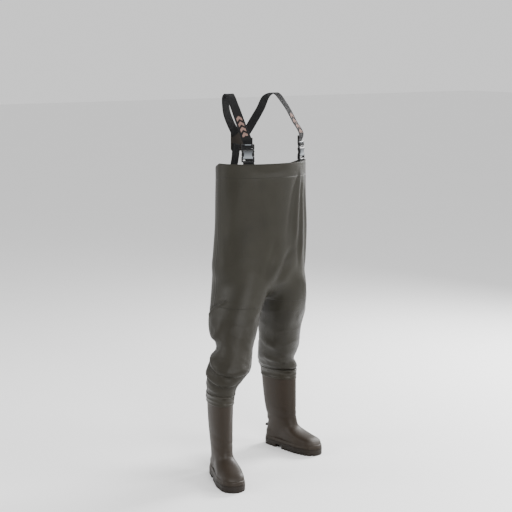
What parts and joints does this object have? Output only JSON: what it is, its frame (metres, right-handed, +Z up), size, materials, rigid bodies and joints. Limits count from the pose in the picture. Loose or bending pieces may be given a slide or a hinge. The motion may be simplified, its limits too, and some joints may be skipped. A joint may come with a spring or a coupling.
{
  "type": "chest waders",
  "caption": "Chest-high waterproof waders with fixed rubber boots, a wide bib and elastic shoulder straps that release with buckles; hips, knees and buckles move.",
  "frame": {"origin": "on the ground, in the middle of the box that the waders stand in", "axes": "+Z up; the bib faces -Y; the wearer's right is -X"},
  "size_m": [0.6417, 0.5419, 1.5832],
  "materials": {
    "coated_cloth": "satin",
    "knee_cloth": "satin",
    "seam_tape": "satin",
    "boot_rubber": "satin",
    "sole_rubber": "matte",
    "insole_felt": "matte",
    "webbing": "matte",
    "strap_pattern": "matte",
    "buckle_plastic": "gloss"
  },
  "bodies": {
    "bib": {"right_front_panel": "coated_cloth", "right_back_panel": "coated_cloth", "right_side_seam_tape": "seam_tape", "right_strap_tab": "webbing", "right_buckle_socket": "buckle_plastic", "right_front_strap": "webbing", "right_shoulder_strap": "webbing", "right_back_strap": "webbing", "left_front_panel": "coated_cloth", "left_back_panel": "coated_cloth", "left_side_seam_tape": "seam_tape", "left_strap_tab": "webbing", "left_buckle_socket": "buckle_plastic", "left_front_strap": "webbing", "left_shoulder_strap": "webbing", "left_back_strap": "webbing", "front_hem_band": "coated_cloth", "back_hem_band": "coated_cloth", "chest_pocket": "coated_cloth", "crotch_gusset": "coated_cloth", "back_yoke": "webbing"},
    "right_plug": {"right_buckle_plug": "buckle_plastic"},
    "right_plug_left_arm": {"right_plug_left_arm": "buckle_plastic"},
    "right_plug_right_arm": {"right_plug_right_arm": "buckle_plastic"},
    "right_thigh": {"right_thigh_front": "coated_cloth", "right_thigh_back": "coated_cloth", "right_knee_patch": "knee_cloth"},
    "right_shin": {"right_shin_sleeve": "coated_cloth", "right_join_band": "coated_cloth", "right_boot_upper": "boot_rubber", "right_outsole": "sole_rubber", "right_insole": "insole_felt", "right_toe_guard": "boot_rubber", "right_kick_spur": "sole_rubber"},
    "left_plug": {"left_buckle_plug": "buckle_plastic"},
    "left_plug_left_arm": {"left_plug_left_arm": "buckle_plastic"},
    "left_plug_right_arm": {"left_plug_right_arm": "buckle_plastic"},
    "left_thigh": {"left_thigh_front": "coated_cloth", "left_thigh_back": "coated_cloth", "left_knee_patch": "knee_cloth"},
    "left_shin": {"left_shin_sleeve": "coated_cloth", "left_join_band": "coated_cloth", "left_boot_upper": "boot_rubber", "left_outsole": "sole_rubber", "left_insole": "insole_felt", "left_toe_guard": "boot_rubber", "left_kick_spur": "sole_rubber"}
  },
  "joints": [
    {"name": "right_hip", "type": "hinge", "parent": "bib", "child": "right_thigh", "pos_m": [-0.0596, 0.0522, 0.8], "axis": [-1, 0, 0], "range_deg": [-12, 45]},
    {"name": "right_knee", "type": "hinge", "parent": "right_thigh", "child": "right_shin", "pos_m": [-0.1836, -0.0718, 0.515], "axis": [0.9511, -0.309, 0], "range_deg": [-8, 50]},
    {"name": "left_hip", "type": "hinge", "parent": "bib", "child": "left_thigh", "pos_m": [0.1684, 0.0522, 0.8], "axis": [-1, 0, 0], "range_deg": [-12, 45]},
    {"name": "left_knee", "type": "hinge", "parent": "left_thigh", "child": "left_shin", "pos_m": [0.1974, 0.1002, 0.515], "axis": [0.9799, 0.1994, 0], "range_deg": [-8, 50]},
    {"name": "right_buckle_release", "type": "slide", "parent": "bib", "child": "right_plug", "axis": [0, 0, 1], "range_m": [0, 0.034], "deforming": ["right_front_strap", "right_plug_left_arm", "right_plug_right_arm"]},
    {"name": "right_plug_left_arm_squeeze", "type": "hinge", "parent": "right_plug", "child": "right_plug_left_arm", "pos_m": [-0.06187, -0.05847, 1.358], "axis": [0.5, 0.866, 0], "range_deg": [0, 5], "stiffness_Nm_per_rad": 0.15},
    {"name": "right_plug_right_arm_squeeze", "type": "hinge", "parent": "right_plug", "child": "right_plug_right_arm", "pos_m": [-0.09963, -0.03667, 1.358], "axis": [-0.5, -0.866, 0], "range_deg": [0, 5], "stiffness_Nm_per_rad": 0.15},
    {"name": "left_buckle_release", "type": "slide", "parent": "bib", "child": "left_plug", "axis": [0, 0, 1], "range_m": [0, 0.034], "deforming": ["left_front_strap", "left_plug_left_arm", "left_plug_right_arm"]},
    {"name": "left_plug_left_arm_squeeze", "type": "hinge", "parent": "left_plug", "child": "left_plug_left_arm", "pos_m": [0.20843, -0.03667, 1.358], "axis": [-0.5, 0.866, 0], "range_deg": [0, 5], "stiffness_Nm_per_rad": 0.15},
    {"name": "left_plug_right_arm_squeeze", "type": "hinge", "parent": "left_plug", "child": "left_plug_right_arm", "pos_m": [0.17067, -0.05847, 1.358], "axis": [0.5, -0.866, 0], "range_deg": [0, 5], "stiffness_Nm_per_rad": 0.15}
  ]
}
